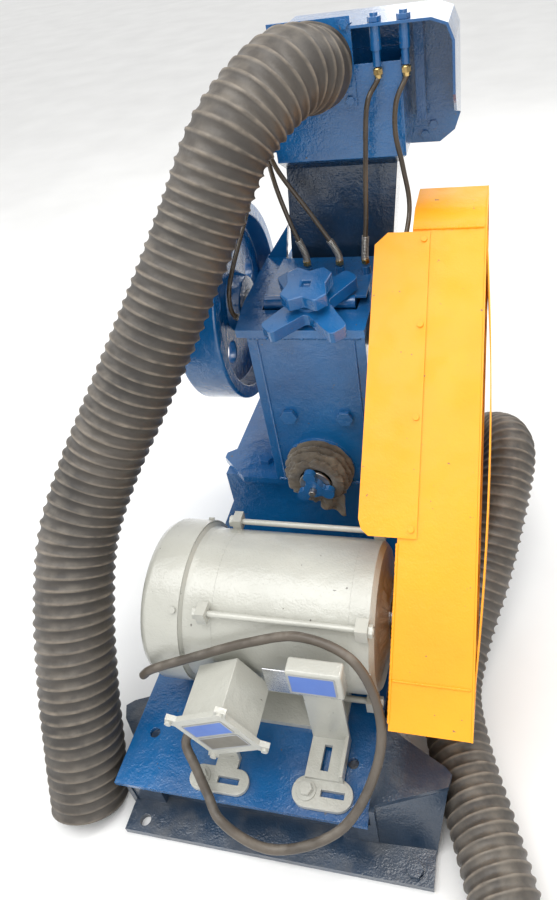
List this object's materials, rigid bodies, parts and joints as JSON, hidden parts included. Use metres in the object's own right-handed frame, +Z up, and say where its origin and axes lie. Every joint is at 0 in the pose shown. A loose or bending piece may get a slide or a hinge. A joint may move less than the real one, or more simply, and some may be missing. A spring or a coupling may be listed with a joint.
{
  "type": "grain mill",
  "caption": "Motor driven grain crushing mill on a low steel base: guarded belt drive, flywheel, jaw chamber, feed hopper with hood, two hoses and electrical boxes.",
  "frame": {"origin": "on the floor at the middle of the base frame footprint", "axes": "+Z up, +X towards the belt guard side, +Y towards the rear; the hoses and the open front face -Y"},
  "size_m": [0.8001, 0.9628, 1.0187],
  "materials": {
    "base_paint": "satin, scuffed",
    "blue_paint": "gloss, orange peel",
    "grey_paint": "gloss",
    "yellow_paint": "gloss",
    "zinc_steel": "satin",
    "steel": "machined",
    "stainless": "brushed",
    "iron": "rough",
    "brass": "satin",
    "black_plastic": "matte",
    "line_plastic": "gloss",
    "hose_plastic": "satin",
    "cable_rubber": "matte",
    "belt_rubber": "matte",
    "canvas": "matte"
  },
  "bodies": {
    "frame": {"base_frame": "base_paint", "anchor_bolt": "base_paint", "motor_plate": "blue_paint", "motor_frame": "grey_paint", "plate_bolts": "grey_paint", "fan_end_bell": "grey_paint", "drive_end_bell": "grey_paint", "motor_through_bolts": "grey_paint", "fan_cover": "grey_paint", "cover_screws": "grey_paint", "motor_stator": "iron", "motor_bearings": "steel", "drive_belts": "belt_rubber", "guard_case": "yellow_paint", "guard_mesh": "yellow_paint", "guard_shield": "yellow_paint", "guard_screws": "yellow_paint", "bearing_housings": "blue_paint", "main_bearings": "steel", "mill_body": "blue_paint", "front_panel": "blue_paint", "body_bolts": "blue_paint", "pedestal": "blue_paint", "fixed_jaw_plate": "steel", "cheek_plates": "steel", "toggle_block": "iron", "toggle_plate": "iron", "tension_rod": "zinc_steel", "canvas_boot": "canvas", "tension_spring": "steel", "top_frame": "blue_paint", "shaft_cover": "blue_paint", "feed_hopper": "blue_paint", "hood": "blue_paint", "hopper_bolts": "blue_paint", "bulkhead_fittings": "blue_paint", "grease_lines": "line_plastic", "adapter_flange": "blue_paint", "left_hose": "hose_plastic", "right_hose": "hose_plastic", "switch_box": "grey_paint", "switch_cover": "grey_paint", "slotted_arm": "grey_paint", "sensor_strap": "stainless", "sensor_box": "grey_paint", "power_cable": "cable_rubber"},
    "crank": {"eccentric_shaft": "steel", "flywheel": "blue_paint", "driven_sheave": "iron"},
    "jaw": {"swing_jaw": "iron", "swing_jaw_plate": "steel"},
    "motor_rotor_body": {"motor_shaft": "steel", "motor_rotor": "iron", "motor_fan": "black_plastic", "drive_sheave": "iron"},
    "adjuster": {"adjusting_screw": "blue_paint"},
    "wedge": {"adjusting_wedge": "iron"},
    "lock_wheel": {"star_wheel": "blue_paint"},
    "pressure_washer": {"spring_washer": "zinc_steel"},
    "hand_nut": {"boot_nut": "blue_paint"}
  },
  "joints": [
    {"name": "shaft_spin", "type": "hinge", "parent": "frame", "child": "crank", "pos_m": [0, 0.265, 0.556], "axis": [1, 0, 0], "continuous": true},
    {"name": "jaw_swing", "type": "hinge", "parent": "crank", "child": "jaw", "pos_m": [0, 0.265, 0.559], "axis": [1, 0, 0], "continuous": true},
    {"name": "motor_spin", "type": "hinge", "parent": "frame", "child": "motor_rotor_body", "pos_m": [0, -0.155, 0.22], "axis": [1, 0, 0], "continuous": true},
    {"name": "adjuster_turn", "type": "hinge", "parent": "frame", "child": "adjuster", "pos_m": [0.023, 0.123, 0.605], "axis": [0, -0.2079, 0.9781], "range_deg": [-360, 720]},
    {"name": "wedge_slide", "type": "slide", "parent": "frame", "child": "wedge", "axis": [0, -0.2079, 0.9781], "range_m": [-0.0031, 0.0062]},
    {"name": "lock_wheel_turn", "type": "hinge", "parent": "frame", "child": "lock_wheel", "pos_m": [0.023, 0.123, 0.605], "axis": [0, -0.2079, 0.9781], "range_deg": [0, 90]},
    {"name": "washer_slide", "type": "slide", "parent": "frame", "child": "pressure_washer", "axis": [0, -1, 0], "range_m": [0, 0.0041]},
    {"name": "hand_nut_turn", "type": "hinge", "parent": "pressure_washer", "child": "hand_nut", "pos_m": [0.004, 0.03, 0.312], "axis": [0, -1, 0], "range_deg": [0, 720]}
  ],
  "couplings": [
    {"joint": "jaw_swing", "follows": "shaft_spin", "ratio": -1},
    {"joint": "motor_spin", "follows": "shaft_spin", "ratio": 1.4167},
    {"joint": "wedge_slide", "follows": "adjuster_turn", "m_per_rad": 0.00047746},
    {"joint": "washer_slide", "follows": "hand_nut_turn", "m_per_rad": 0.00031831}
  ]
}
